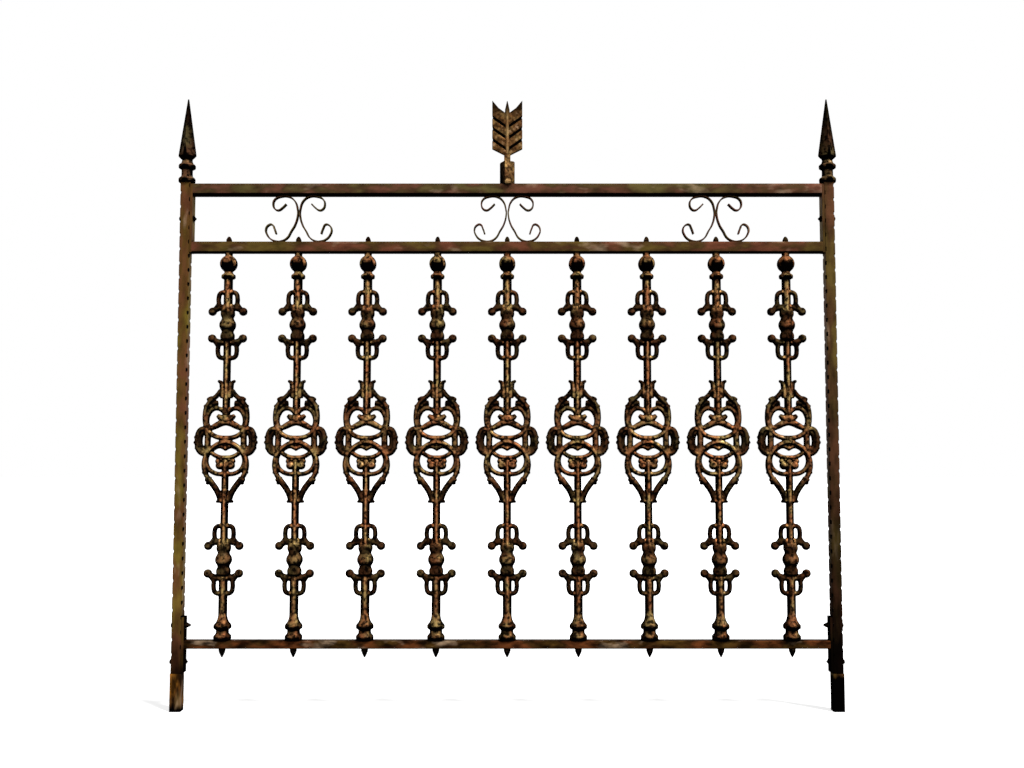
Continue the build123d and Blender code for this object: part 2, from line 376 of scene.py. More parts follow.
def shadedRubbedBronze(name, look):
    # Black paint on iron or steel with antique bronze wiped over it from the front and the back: soft gold,
    # olive
    # and copper patches on what stands proud, pale scuffs on them. Painted light and shade ride on the same
    # share:
    # more bronze on upward faces, near-black painted shade on sides, undersides, hollows and corners. A
    # baluster keeps most of its bronze on its axis.
    material = bpy.data.materials.new(name)
    material.use_nodes = True
    tree = material.node_tree
    shader = tree.nodes["Principled BSDF"]
    faces = addNode(tree, "TexCoord")
    place = faces.outputs["Object"]
    stretched = addNode(tree, "Mapping", {"Scale": look["grain"]}, {"Vector": place}).outputs["Vector"]
    patches, wiping, scuffing, pitting = [
        addNode(tree, "TexNoise", {"Scale": 1 / (look[size] * mm), "Detail": detail},
                {"Vector": source}).outputs["Fac"]
        for size, detail, source in (("patchSize", 3, stretched), ("wipeSize", 4, stretched),
                                     ("scuffSize", 3, stretched), ("pitSize", 2, place))]
    normal = addNode(tree, "SeparateXYZ", None, {"Vector": faces.outputs["Normal"]})
    spot = addNode(tree, "SeparateXYZ", None, {"Vector": place})

    # how much bronze the cloth left, with painted light and painted shade, as a row of shares that multiply
    shares = bandShares(tree, look, spot)
    rubAndShading = proudAndLitShare(tree, look, spot, normal, shares)
    banded, eared = axisShares(tree, look, spot, shares)
    wiped = addNode(tree, "MapRange", {"From Min": look["wipeStart"], "From Max": look["wipeFull"],
                    "To Min": look["thinnest"]}, {"Value": wiping}).outputs["Result"]
    # painted shade: darker in hollows, over the black paint that stays in them
    hollowShade = addNode(tree, "AmbientOcclusion", {"Distance": look["hollowShadeReach"] * mm}, samples=6)
    outOfHollowShade = addNode(tree, "MapRange", {"From Min": look["hollowShadeLow"],
                      "From Max": look["hollowShadeHigh"]}, {"Value": hollowShade.outputs["AO"]}).outputs["Result"]
    # below a given height the bronze fades to black: painted shade on the rails' lower front edge, and on the
    # posts and feet the bronze runs out there
    ragged = addNode(tree, "Math", {1: look["darkRagged"] * mm}, {0: wiping, 2: spot.outputs["Z"]},
                     operation="MULTIPLY_ADD").outputs[0]
    darkBelowShare = addNode(tree, "MapRange", {"From Min": look["darkBelow"] * mm,
                  "From Max": (look["darkBelow"] + look["darkFade"]) * mm, "To Min": look["darkShare"]},
                  {"Value": ragged}).outputs["Result"]
    # painted shade: faces that slope up or down, as in struck dents, are painted black
    slope = addNode(tree, "Math", None, {0: normal.outputs["Z"]}, operation="ABSOLUTE").outputs[0]
    outOfSlopeShade = addNode(tree, "MapRange", {"From Min": look["slopeShade"],
                    "From Max": look["slopeShade"] / look["slopeShadeEase"]}, {"Value": slope}).outputs["Result"]
    for share in (outOfHollowShade, wiped, darkBelowShare, outOfSlopeShade, banded, eared):
        rubAndShading = addNode(tree, "Math", None, {0: rubAndShading, 1: share}, operation="MULTIPLY").outputs[0]

    # the bronze's tones, and the scuffs on it
    tones = addNode(tree, "ValToRGB", None, {"Fac": patches})
    stops = tones.color_ramp.elements
    for stop, tone in zip(stops, ("copper", "gold")):
        stop.position = look[tone + "At"]
        stop.color = colour(look[tone])
    stops.new(look["brownAt"]).color = colour(look["brown"])
    worn = addNode(tree, "MapRange", {"From Min": look["scuffStart"], "From Max": look["scuffFull"],
                   "To Max": look["scuffShare"]}, {"Value": scuffing}).outputs["Result"]
    bronze = addNode(tree, "Mix", {"B": colour(look["scuff"])},
                     {"Factor": worn, "A": tones.outputs["Color"]}, data_type="RGBA").outputs["Result"]

    finish = {
        "Base Color": addNode(tree, "Mix", {"A": colour(look["black"])},
                              {"Factor": rubAndShading, "B": bronze}, data_type="RGBA").outputs["Result"],
        "Roughness": addNode(tree, "MapRange", {"To Min": look["paintRoughness"],
                             "To Max": look["roughness"]}, {"Value": rubAndShading}).outputs["Result"],
        "Metallic": addNode(tree, "Math", {1: look["metallic"]}, {0: rubAndShading},
                            operation="MULTIPLY").outputs[0],
        "Normal": addNode(tree, "Bump", {"Strength": look["pitStrength"],
                          "Distance": look["pitDepth"] * mm}, {"Height": pitting}).outputs["Normal"],
    }
    for inputName, source in finish.items():
        tree.links.new(source, shader.inputs[inputName])
    shader.inputs["Specular IOR Level"].default_value = look["specular"]
    return material


castIronLook = {
    "black": "#030202", "copper": "#a0643e", "brown": "#9e6e44", "gold": "#b0935a",
    "copperAt": 0.38, "brownAt": 0.5, "goldAt": 0.64,  # where each tone lies in the patches' noise
    "grain": (1, 1, 1), "patchSize": 40,  # how the patches are drawn out, and their size
    "wipeSize": 9, "wipeStart": 0.4, "wipeFull": 0.58, "thinnest": 0.06,  # where the cloth missed
    "frontCover": 0.68, "upLitCover": 0.73, "endCover": 0,  # the cover of a face that looks each way, with painted light on upward faces and painted shade on undersides and sides
    "depthCover": 0.4, "depthFrom": 3, "depthFull": 9,  # more of it on what stands forward
    "bulgeShadeLoss": 0.42, "bulgeShadeFrom": 13, "bulgeShadeFade": 3,  # and less of it on the forward rims of bulging turnings, as painted shade
    "proudLow": 0.66, "proudHigh": 0.98,  # the cover at which bronze starts, and is full
    "hollowShadeReach": 8, "hollowShadeLow": 0.5, "hollowShadeHigh": 0.95,  # painted shade: hollows are painted black, over the black paint that stays in them
    "darkBelow": -60, "darkFade": 16, "darkRagged": 30, "darkShare": 0,  # a dark stretch at the foot: painted shade on the rails' lower front edge, and on posts and feet the bronze runs out there
    "slopeShade": 9, "slopeShadeEase": 3,  # painted shade: faces that slope, as in struck dents, are painted black
    "bands": ((10, 1, 1, 1), (1590, 1, 1, 1)),  # (height, share beside the axes, share on them, bulges' painted shade)
    "firstAxis": balusterX[0], "axisPitch": (balusterX[-1] - balusterX[0]) / (len(balusterX) - 1),
    "axisHalf": 9, "besideFrom": 13, "earFrom": 54, "earFull": 60, "earShare": 1,  # distances from an axis
    "scuff": "#c8aa8c", "scuffSize": 14, "scuffStart": 0.6, "scuffFull": 0.76, "scuffShare": 0.35,
    "paintRoughness": 0.6, "roughness": 0.42, "metallic": 0.5, "specular": 0,
    "pitSize": 2.2, "pitDepth": 0.4, "pitStrength": 0.25,
}

# Balusters: the sprays and the medallions' ears stay dark, and the axis is lighter between them.
castBands = (  # (start, rows of height over it, share beside the axes, share on them, bulges' painted shade)
    (bottomRailTop, (
        (0, 0.1, 0.6, 1), (110, 0.12, 0.65, 1), (152, 0.14, 1.2, 1), (162, 0.2, 0.1, 0), (180, 0.2, 0.1, 0),
        (188, 0.3, 0.5, 0), (205, 0.3, 0.5, 0), (213, 0.2, 0.1, 0), (231, 0.2, 0.1, 0), (241, 0.12, 1.3, 1))),
    (heart, (
        (-108, 0.12, 1.2, 1), (-90, 0.55, 1.1, 1), (-45, 0.75, 1, 1), (30, 0.8, 1.1, 1), (72, 0.5, 1, 1),
        (92, 0.3, 1.2, 1), (118, 0.12, 1.5, 1))),
    (middleRailFoot, (
        (-228, 0.12, 1.4, 1), (-218, 0.22, 0.1, 0), (-200, 0.22, 0.1, 0), (-192, 0.3, 0.5, 0),
        (-174, 0.3, 0.5, 0), (-166, 0.22, 0.1, 0), (-148, 0.22, 0.1, 0), (-138, 0.12, 1.4, 1),
        (-94, 0.3, 1.8, 1), (-60, 0.6, 0.8, 1), (-6, 1, 1, 1), (16, 0.08, 0.08, 1))),
)
castLook = dict(castIronLook, earShare=0.22, bands=[
    (start + row[0], *row[1:]) for start, rows in castBands for row in rows])

# Rails: darker bronze in long streaks, with a band of painted shade along the lower front edge of the upper
# two.
shadeBand = {"top": 5.5, "middle": 3.5, "fade": 1.5}
railLook = dict(castIronLook, copper="#664030", brown="#4a3622", gold="#5a4e2c", grain=(0.45, 1, 1),
                patchSize=34, wipeSize=16, wipeStart=0.25, wipeFull=0.6, thinnest=0.45, frontCover=0.8,
                upLitCover=0.6, depthCover=0, bulgeShadeLoss=0, proudLow=0.42, proudHigh=0.8, pitSize=3, scuffSize=30)
topRailLook = dict(railLook, darkBelow=topRailFoot + shadeBand["top"], darkFade=shadeBand["fade"],
                   darkRagged=shadeBand["fade"])
middleRailLook = dict(railLook, copper="#663c2a", brown="#4c341e", gold="#5c4a22",
                      darkBelow=middleRailFoot + shadeBand["middle"], darkFade=shadeBand["fade"],
                      darkRagged=shadeBand["fade"])
bottomRailLook = dict(railLook, copper="#5c3218", brown="#38230f", gold="#4a3414", wipeStart=0.36,
                      thinnest=0.15, scuffShare=0.5)

# Posts: bronze on all four sides, drawn out upwards, that runs out towards the foot, sooner on the right,
# with painted shade where the dents slope.
postLook = dict(railLook, copper="#623c26", brown="#5a401e", gold="#6a5822", grain=(1, 1, 0.3), endCover=0.7,
                slopeShade=0.3)
leftPostLook = dict(postLook, darkBelow=150, darkFade=170, darkRagged=110, darkShare=0.1)
rightPostLook = dict(postLook, copper="#5a3a26", brown="#4a351e", gold="#584722", darkBelow=300, darkFade=840,
                     darkRagged=300, darkShare=0.02)
leftFootLook = dict(postLook, copper="#9a6424", brown="#4e3016", gold="#5a4426", darkBelow=22, slopeShade=9,
                    wipeStart=0.42, thinnest=0.1, patchSize=24)
rightFootLook = dict(postLook, darkBelow=98, slopeShade=9)

# Finials: bronze that thins out to bare black at the tips.
spearLook = dict(castIronLook, copper="#6e4a32", brown="#6c5234", gold="#7a6a42", depthCover=0.1,
                 proudLow=0.5, proudHigh=0.9, bulgeShadeFrom=18,
                 bands=((10, 1, 1, 1), (postTop + 80, 1, 1, 1), (postTop + 170, 0.15, 0.15, 1),
                        (1590, 0.05, 0.05, 1)))
featherLook = dict(castIronLook, copper="#604024", brown="#6e4c2a", gold="#8e6e42", patchSize=26,
                   hollowShadeReach=3, wipeSize=7, wipeFull=0.6, thinnest=0.3, frontCover=0.8, upLitCover=0.6,
                   depthCover=0, bulgeShadeLoss=0, proudLow=0.38, proudHigh=0.8,
                   bands=((10, 1, 1, 1), (featherTop - 44, 1, 1, 1), (featherTop - 22, 0.1, 0.1, 1),
                          (1590, 0.02, 0.02, 1)))
# The rib, and the weld beads that share its bronze: lighter tones as a painted highlight on what stands
# proud.
ribLitLook = dict(featherLook, copper="#7c5632", brown="#8c6a42", gold="#a58658", thinnest=0.7)
socketLook = dict(featherLook, copper="#563820", brown="#5e4226", gold="#7c6038")

# Fastenings: satin black paint, hardly rubbed.
blackPaintLook = dict(castIronLook, copper="#170f0a", brown="#120d09", gold="#1a140e", scuffShare=0.1)

castBronze = shadedRubbedBronze("castIronRubbedBronze", castLook)
railBronze = shadedRubbedBronze("steelTubeRubbedBronze", railLook)
railBronzes = {"top": shadedRubbedBronze("topRailRubbedBronze", topRailLook),
               "middle": shadedRubbedBronze("middleRailRubbedBronze", middleRailLook),
               "bottom": shadedRubbedBronze("bottomRailWornBronze", bottomRailLook)}
postBronzes = {"left": shadedRubbedBronze("hammeredTubeRubbedBronze", leftPostLook),
               "right": shadedRubbedBronze("hammeredTubeDarkBronze", rightPostLook)}
plateBronzes = {"left": shadedRubbedBronze("leftPlateWornBronze", dict(leftPostLook, endCover=0)),
                "right": shadedRubbedBronze("rightPlateWornBronze", dict(rightPostLook, endCover=0))}
footBronzes = {"left": shadedRubbedBronze("leftFootWornBronze", leftFootLook),
               "right": shadedRubbedBronze("rightFootBareBlack", rightFootLook)}
spearBronze = shadedRubbedBronze("spearCastingBronze", spearLook)
featherBronze = shadedRubbedBronze("featherCastingBronze", featherLook)
ribLitBronze = shadedRubbedBronze("featherRibLitBronze", ribLitLook)
socketBronze = shadedRubbedBronze("socketWornBronze", socketLook)
# the black paint, also used as painted shade in the posts' dents and the feather's grooves
blackPaintAndShade = shadedRubbedBronze("satinBlackPaintAndShade", blackPaintLook)
print("materials made")


# The cast baluster, modelled once, lying in the XY plane with the middle rail's underside at height 0

baluster = {
    "lowerShaftHalf": 11.8, "shaftHalf": 10.3, "upperShaftHalf": 12, "stemHalf": 9.5,  # across the corners
    "ballRadius": 22.3, "ballDrop": 27.7, "upperSprayDrop": 183, "lowerSprayRise": 196.5,
    "tenonSide": 12.5, "tenonSunk": 4, "tenonShoulder": 5, "tenonBend": 10, "bendShare": 0.75,
    "tenonPoint": 14.5, "tenonTip": 3,
    "meltLoss": 2.5,  # what a strand loses in width when the forms are fused
    "voxel": 1.35, "keptShare": 0.33,
}

medallionStrands = [  # (width, depth, points), drawn on both sides of the axis
    (10, 14, [(15, 127, 0.9), (22, 116, 1), (33, 106, 1), (43, 96, 1), (50, 83, 1), (52.5, 68, 1),
              (52.5, 52, 1), (49.5, 37, 1), (42, 24, 1), (30, 14, 1), (16, 9, 1), (0, 8, 1)]),
    (11, 12, [(9, 108, 1), (10.5, 124, 1), (12, 137, 0.9), (14.5, 146, 0.7), (17, 151, 0.6)]),
    (9, 12, [(28, 106, 1), (38, 108, 0.9), (46, 107, 0.5)]),
    (12, 8, [(20, 96, 0.9), (32, 94, 1), (43, 88, 0.9)]),
    (9, 11, [(2, 66, 0.9), (10, 77, 1), (22, 82, 1), (34, 79, 1), (43, 68, 1), (47, 54, 1), (46, 42, 1),
             (42, 33, 1)]),
    (13, 13, [(0, 52, 1), (10, 56, 1), (17, 61, 0.9), (22, 65, 0.6)]),
    (15, 12, [(0, 48, 1), (12, 45, 1), (24, 39, 0.95), (34, 34, 0.8), (42, 31, 0.7)]),
    (10, 14, [(0, -2, 1), (14, -5, 1), (27, -12, 1), (40, -24, 1), (49, -38, 1), (53, -54, 1), (52, -70, 1),
              (46, -86, 1), (38, -99, 0.9)]),
    (8, 9, [(38, -28, 1), (28, -18, 1), (14, -13, 1), (5, -16, 1), (0, -19, 1)]),
    (13.5, 12, [(48, 32, 1), (45.5, 18, 1), (45, 0, 1), (46, -18, 1), (49, -33, 1)]),
    (11.5, 14, [(50, 29, 0.9), (60, 30, 1), (68, 21, 1), (70.5, 8, 1), (70.5, -8, 1), (68, -20, 1),
                (60, -29, 1), (50, -32, 0.9)]),
    (11, 10, [(53, 26, 1), (59, 20, 1), (62.5, 9, 0.9), (62.5, -9, 0.9), (59, -19, 1), (53, -26, 1)]),
    (9, 11, [(42, -30, 0.9), (47, -44, 1), (46, -58, 1), (39, -71, 1), (27, -79, 1), (13, -82, 1),
             (0, -80, 1)]),
    (9, 11, [(40, -25, 0.9), (28, -34, 1), (14, -40, 1), (0, -41, 1)]),
    (10, 12, [(38, -88, 0.9), (42, -98, 1), (45, -108, 0.5)]),
    (13.5, 13, [(41, -94, 1), (30, -108, 1), (21, -121, 1), (15, -135, 0.9), (12, -148, 0.8)]),
    (8.5, 11, [(4, -149, 1), (14, -149, 0.9), (22, -151, 0.5)]),
]

medallionBeads = [  # (x, height, radius, depth) lumps on both sides of the axis
    (13.8, -60.5, 10.5, 18), (19, -50, 6.5, 12), (39, 88, 6.5, 10), (10, -46, 6, 11), (75, 10, 4.5, 12),
    (76, -3, 4.5, 12), (73, -17, 4.5, 12), (68, 24, 4.5, 12), (19, 150, 4, 10), (45, 105, 4.5, 12),
    (53, 88, 4, 11), (46, -96, 5, 12), (54, -78, 4, 11), (34, 33, 4.5, 12),
]

medallionMiddles = [  # (name, height, radius, depth, squash) lumps on the axis
    ("Heart", 57, 11, 17, 1.2), ("Clasp", 3, 15, 13, 0.55), ("Crown", -9, 13, 10, 0.5),
    ("Chin", -18, 5, 12, 1.3), ("Root", -60, 6.5, 13, 3.2),
]

sprayStrands = [
    (9.5, 12, [(5, 82, 0.9), (14, 83, 1), (21, 78.5, 1), (23.5, 69, 1), (23.5, 58, 1), (21, 48, 1),
               (14, 42, 1)]),
    (14, 14, [(8, 44, 1), (19, 44, 1), (29, 40.5, 0.95), (37, 35, 0.85)]),
    (9, 12, [(23, 56, 0.8), (26, 49, 1), (32, 41, 1), (37, 36, 0.8)]),
]

sprayBeads = [  # (name, x, height, radius, depth, squash) lumps on both sides of the axis
    ("Knob", 38.5, 34, 10.8, 18, 1), ("KnobTip", 44, 30, 4.5, 11, 1), ("Leaf", 9, 29, 9, 26, 1.5),
]

# turnings, as (height, radius) from the spray's middle, the middle rail and the casting's foot
sprayCore = [(-40, 8), (-35, 13.5), (-16, 14.8), (-12, 16.4), (-8, 19), (-3, 20.6), (3, 20.6), (8, 19),
             (12, 16.4), (16, 14.8), (35, 13.5), (40, 8)]
collarSteps = [(-67, 10), (-66, 14), (-64.5, 17.3), (-58, 17.8), (-55.5, 16.5), (-53, 12.5), (-50, 10.5),
               (-46, 10)]
footSteps = [(0, 17), (0.8, 20.6), (2.5, 21.8), (10, 21.8), (12, 19.8), (17, 15.8), (25, 15.4), (27.5, 19.5),
             (29, 21.8), (36.5, 21.8), (38.5, 20.2), (43.5, 16), (50, 13), (60, 10.8), (64, 9)]


def mirroredStrands(name, strands, lift, flip=1):
    made = []
    for number, (width, depth, points) in enumerate(strands):
        placed = [(x, flip * height + lift, taper) for x, height, taper in points]
        for side in (-1, 1):
            section = ovalSection(f"{name}Section", width + baluster["meltLoss"], depth)
            made.append(addStrand(f"{name}{number}", placed, section, side))
    return made


def makeMedallion(centre):
    made = mirroredStrands("medallion", medallionStrands, centre)
    for number, (x, height, radius, depth) in enumerate(medallionBeads):
        for side in (-1, 1):
            made.append(addBead(f"medallionBead{number}", side * x, height + centre, radius, depth))
    for name, height, radius, depth, squash in medallionMiddles:
        made.append(addBead(f"medallion{name}", 0, centre + height, radius, depth, squash))
    return made


def makeSpray(centre):  # the same upwards and downwards from its middle
    made = [moveTo(laidDown(addTurning("sprayCore", sprayCore, 24)), 0, centre)]
    for flip in (-1, 1):
        made += mirroredStrands("spray", sprayStrands, centre, flip)
        for side in (-1, 1):
            for name, x, height, radius, depth, squash in sprayBeads:
                made.append(addBead(f"spray{name}", side * x, centre + flip * height, radius, depth, squash))
        made.append(addBead("sprayCrown", 0, centre + flip * 31, 5.5, 32, 2.4))
    return made


def laidDown(form):  # a turning's axis laid along Y, where the ornaments are drawn
    return moveTo(form, turn=(-90, 0, 0))


def ballTurning():  # a ball with its necks, up to the middle rail
    drop = -baluster["ballDrop"]
    radius = baluster["ballRadius"]
    steps = [(drop - 21, 9)]
    for tilt in range(-55, 66, 12):  # degrees from the ball's middle
        lift = math.radians(tilt)
        steps.append((drop + radius * math.sin(lift), radius * math.cos(lift)))
    return addTurning("ball", steps + [(drop + 22, 9.5), (0, 10.5)], 8, math.pi / 8)


def tenonTurning(railHeight):  # the pointed square end that stands through the middle rail
    corner = baluster["tenonSide"] / math.sqrt(2)
    steps = [(-baluster["tenonSunk"], corner), (railHeight + baluster["tenonShoulder"], corner),
             (railHeight + baluster["tenonBend"], corner * baluster["bendShare"]),
             (railHeight + baluster["tenonPoint"], baluster["tenonTip"])]
    return addTurning("tenon", steps, 4, math.pi / 4)


def makeBaluster(length, railHeight):
    foot = -length
    medallionAt = -medallionDrop
    sprayAt = foot + baluster["lowerSprayRise"]
    shafts = [  # (name, foot, top, half width) of four-sided shafts with one corner to the front
        ("shaftLow", foot + 8, sprayAt, baluster["lowerShaftHalf"]),
        ("shaftMiddle", sprayAt, medallionAt - 122, baluster["shaftHalf"]),
        ("shaftHigh", medallionAt + 66, -146, baluster["shaftHalf"]),
        ("shaftNeck", -152, -56, baluster["upperShaftHalf"]),
        ("medallionStem", medallionAt - 126, medallionAt - 50, baluster["stemHalf"]),
    ]
    made = [laidDown(addTurning(name, [(low, half), (high, half)], 4)) for name, low, high, half in shafts]
    made.append(laidDown(ballTurning()))
    made.append(laidDown(addTurning("collar", collarSteps, 24)))
    made.append(moveTo(laidDown(addTurning("footCollars", footSteps, 24)), 0, foot))
    made += makeSpray(-baluster["upperSprayDrop"])
    made += makeSpray(sprayAt)
    made += makeMedallion(medallionAt)
    made.append(laidDown(tenonTurning(railHeight)))
    casting = moveTo(joinPieces("balusterCasting", made), turn=(90, 0, 0))
    fuseCasting(casting, baluster["voxel"], baluster["keptShare"])
    return casting


casting = makeBaluster(middleRailFoot - bottomRailTop, middleRailTop - middleRailFoot)
for number, x in enumerate(balusterX, 1):
    piece = moveTo(copyOf(casting, f"castBaluster_{number}"), x, 0, middleRailFoot)
    finishPiece(piece, castBronze, "cast_iron_bronze", f"baluster_{number}")
bpy.data.objects.remove(casting)
print("balusters cast")


# Hammered posts: one pitch of tube with a dent on each corner, repeated upwards

post = {
    "cornerEase": 1.4, "dentPitch": 36, "rings": 18,  # rings are the cuts across one pitch
    "dentHalfLength": 5, "dentDepth": 1.3, "dentWidth": 2.8, "dentReach": 7.5, "shadedShare": 0.8,
    "dentsFrom": 94,  # the height of the lowest dent
}


def strikeDent(unit, half, sideX, sideY):
    pitch = post["dentPitch"]
    edge = half - post["cornerEase"] - hair
    dentZ = pitch / 4 if sideX == sideY else pitch * 3 / 4  # neighbouring corners are struck in turn
    for ring in range(post["rings"] + 1):
        ringZ = ring * pitch / post["rings"]
        away = (ringZ - dentZ) / post["dentHalfLength"]
        if abs(away) < 1:
            depth = post["dentDepth"] * (1 - away * away) * mm
            pickPoints(unit, lambda x, y, z: x * sideX > edge and y * sideY > edge and abs(z - ringZ) < hair)
            bpy.ops.transform.translate(value=(-sideX * depth, -sideY * depth, 0))
            bpy.ops.object.mode_set(mode="OBJECT")
    for face in unit.data.polygons:  # the dent's bottom is painted black, as painted shade
        middle = face.center / mm
        if (middle.x * sideX > half - post["dentWidth"] and middle.y * sideY > half - post["dentReach"]
                and abs(middle.z - dentZ) < post["dentHalfLength"] * post["shadedShare"]):
            face.material_index = 1


def makePostUnit(name, half, material):  # one pitch of open tube
    pitch = post["dentPitch"]
    unit = addBlock(name, (-half, -half, 0), (half, half, pitch))
    easeEdges(unit, 2, post["cornerEase"])
    pickFaces(unit, lambda centre, normal: abs(normal.z) > 0.9)
    bpy.ops.mesh.delete(type="FACE")
    for spread in (-1, 1):  # cuts that keep each dent by its corner: short on the front, longer on the side
        for across, size in (((1, 0, 0), post["dentWidth"]), ((0, 1, 0), post["dentReach"])):
            bpy.ops.mesh.select_all(action="SELECT")
            spot = [spread * (half - size) * share * mm for share in across]
            bpy.ops.mesh.bisect(plane_co=spot, plane_no=across)
    for step in range(1, post["rings"]):
        bpy.ops.mesh.select_all(action="SELECT")
        bpy.ops.mesh.bisect(plane_co=(0, 0, step * pitch / post["rings"] * mm), plane_no=(0, 0, 1))
    unit.data.materials.append(material)
    unit.data.materials.append(blackPaintAndShade)
    for sideX, sideY in ((-1, -1), (1, -1), (1, 1), (-1, 1)):
        strikeDent(unit, half, sideX, sideY)
    return unit


def makePost(name, node, material):
    low, high = boxOf(node)
    unit = makePostUnit(name, (high[0] - low[0]) / 2, material)
    pitch = post["dentPitch"]
    count = int((high[2] - post["dentsFrom"]) / pitch)
    applyModifier(unit, "ARRAY", count=count, use_relative_offset=False, use_constant_offset=True,
                  constant_offset_displace=(0, 0, pitch * mm), use_merge_vertices=True,
                  merge_threshold=0.1 * mm)
    unitFoot = high[2] - count * pitch
    moveTo(unit, middleXOf(node), 0, unitFoot)
    pickPoints(unit, lambda x, y, z: z < unitFoot + hair)
    bpy.ops.mesh.extrude_edges_move(TRANSFORM_OT_translate={"value": (0, 0, (low[2] - unitFoot) * mm)})
    bpy.ops.mesh.edge_face_add()
    pickPoints(unit, lambda x, y, z: z > high[2] - hair)
    bpy.ops.mesh.edge_face_add()
    turnFacesOut()
    smoothShade(unit, 30)
    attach(unit, "root")
    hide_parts(node)


for side in sides:
    makePost(f"hammeredPost_{side}", f"{side}_post", postBronzes[side])
print("posts hammered")


# Rails, end plates and foot caps: drawn stock with eased corners

stock = {"railEase": 2.6, "plateEase": 0.8, "capEase": 1.6}


def makeStock(name, node, axis, ease, material, slot):
    low, high = boxOf(node)
    piece = addBlock(name, low, high)
    easeEdges(piece, axis, ease)
    finishPiece(piece, material, slot, node)


for level, bronze in railBronzes.items():
    makeStock(f"{level}Rail", f"{level}_rail", 0, stock["railEase"], bronze, "rail_steel_bronze")
for side in sides:
    for level, bronze in (("upper", postBronzes[side]), ("lower", plateBronzes[side])):
        makeStock(f"endPlate_{side}_{level}", f"{side}_{level}_end_plate", 0, stock["plateEase"], bronze,
                  "rail_steel_bronze")
    makeStock(f"footCap_{side}", f"{side}_foot_cap", 2, stock["capEase"], footBronzes[side],
              "foot_cap_bronze")
print("rails, plates and caps made")


# Bolts with a domed head outside and a pointed nut inside

bolt = {
    "headWidth": 15, "headHeight": 5, "nutWidth": 16, "shankSide": 8,
    "postAndPlate": 31,  # from the head's seat to the nut's seat
    "bottomProud": 1.5,  # how much further out the bottom bolt's head stands
}


def makeBolt(side, level):
    node = f"{side}_{level}_bolt"
    low, high = boxOf(node)
    headR = bolt["headWidth"] / 2
    nutR = bolt["nutWidth"] / 2
    shankR = bolt["shankSide"] / math.sqrt(2)
    headHeight = bolt["headHeight"]
    nutFoot = headHeight + bolt["postAndPlate"]
    length = high[0] - low[0]
    crown = -bolt["bottomProud"] if level == "bottom" else 0
    headSteps = [(crown, 2.5), (crown + 1, 4.8), (2.5, 6.4), (4, headR), (headHeight, headR)]
    shankSteps = [(headHeight - 1, shankR), (nutFoot + 1, shankR)]
    nutSteps = [(nutFoot - 0.2, nutR), (nutFoot + 3, nutR - 0.4), (length - 1.2, 3.8), (length + 1.5, 2)]
    made = [addTurning("head", headSteps, 24), addTurning("shank", shankSteps, 4, math.pi / 4),
            addTurning("nut", nutSteps, 6)]
    piece = moveTo(joinPieces(f"bolt_{side}_{level}", made), turn=(0, 90, 0))
    if side == "right":
        flipSide(piece)
    moveTo(piece, low[0] if side == "left" else high[0], 0, (low[2] + high[2]) / 2)
    smoothShade(piece, 40)
    finishPiece(piece, blackPaintAndShade, "fastener_black", node)


for side in sides:
    for level in ("upper", "lower", "bottom"):
        makeBolt(side, level)

nut = {"width": 18, "height": 22}
nutSteps = [(-nut["height"], 1.4), (-nut["height"] + 2, 2.6), (-12, 6.4), (-7, nut["width"] / 2 - 0.6),
            (0, nut["width"] / 2 - 0.2)]
oneNut = addTurning("coneNut", nutSteps, 12)
nuts = [moveTo(copyOf(oneNut, f"coneNut{i}"), x, 0, bottomRailFoot) for i, x in enumerate(balusterX)]
bpy.data.objects.remove(oneNut)
coneNuts = joinPieces("coneNuts", nuts)
smoothShade(coneNuts, 40)
finishPiece(coneNuts, blackPaintAndShade, "fastener_black", "baluster_nuts")
print("bolts and nuts made")


# Scrolls of flat bar, back to back

scroll = {
    "bar": 3.7, "depth": 13, "ease": 0.8, "seat": 0.2,  # seat is the gap that the weld fills
    "waistShare": 0.63,  # where the pair meets, as a share of the gap between the rails
    "over": (2, 5, 8),  # the balusters that a pair stands over
}


def makeScroll():
    gap = topRailFoot - middleRailTop
    edge = scroll["bar"] / 2 + scroll["seat"]
    top = gap - edge
    waist = gap * scroll["waistShare"]
    path = [(-32, top - 19), (-42, top - 29), (-52, top - 35), (-60.5, top - 32), (-65.5, top - 20),
            (-61, top - 7), (-46, top), (-26, top - 0.3), (-11, top - 11), (-3.2, waist + 8),
            (-2.6, waist - 4), (-9, waist - 30), (-18.5, 28), (-29, 10.5), (-44, edge + 0.3),
            (-57, edge + 0.2), (-71, 8), (-80.5, 20), (-83.2, 32), (-77, 43), (-68, 45), (-61.5, 34),
            (-57, 21)]
    section = flatSection("scrollSection", scroll["bar"], scroll["depth"], scroll["ease"])
    piece = addStrand("scroll", [(x, height, 1) for x, height in path], section, resolution=8)
    return moveTo(piece, turn=(90, 0, 0))


oneScroll = makeScroll()
for number, over in enumerate(scroll["over"], 1):
    for side in sides:
        piece = copyOf(oneScroll, f"scroll_{side}_{number}")
        if side == "right":
            flipSide(piece)
        moveTo(piece, balusterX[over - 1], 0, middleRailTop)
        smoothShade(piece)
        finishPiece(piece, railBronze, "rail_steel_bronze", f"scroll_{number}_{side}")
bpy.data.objects.remove(oneScroll)
print("scrolls bent")


# Spear finials: a ridged spear on a collar, neck and ring, each a turning of (height, radius) steps

spear = {
    "point": [(52, 13), (60, 14), (65, 20), (69, 23.4), (74, 22.8), (216, 2), (217.5, 0.8)],
    "collar": [(34, 13), (35.5, 17), (38, 20.8), (44, 21.2), (47, 19.5), (49, 15.5), (56, 13)],
    "neck": [(12, 15), (15, 14.2), (24, 13.8), (32, 13.8), (36, 14.5)],
    "ring": [(0, 18), (1.5, 20), (4, 20.8), (10, 20.8), (13, 18.6), (15.5, 15)],
    "voxel": 0.9, "keptShare": 0.3,
}

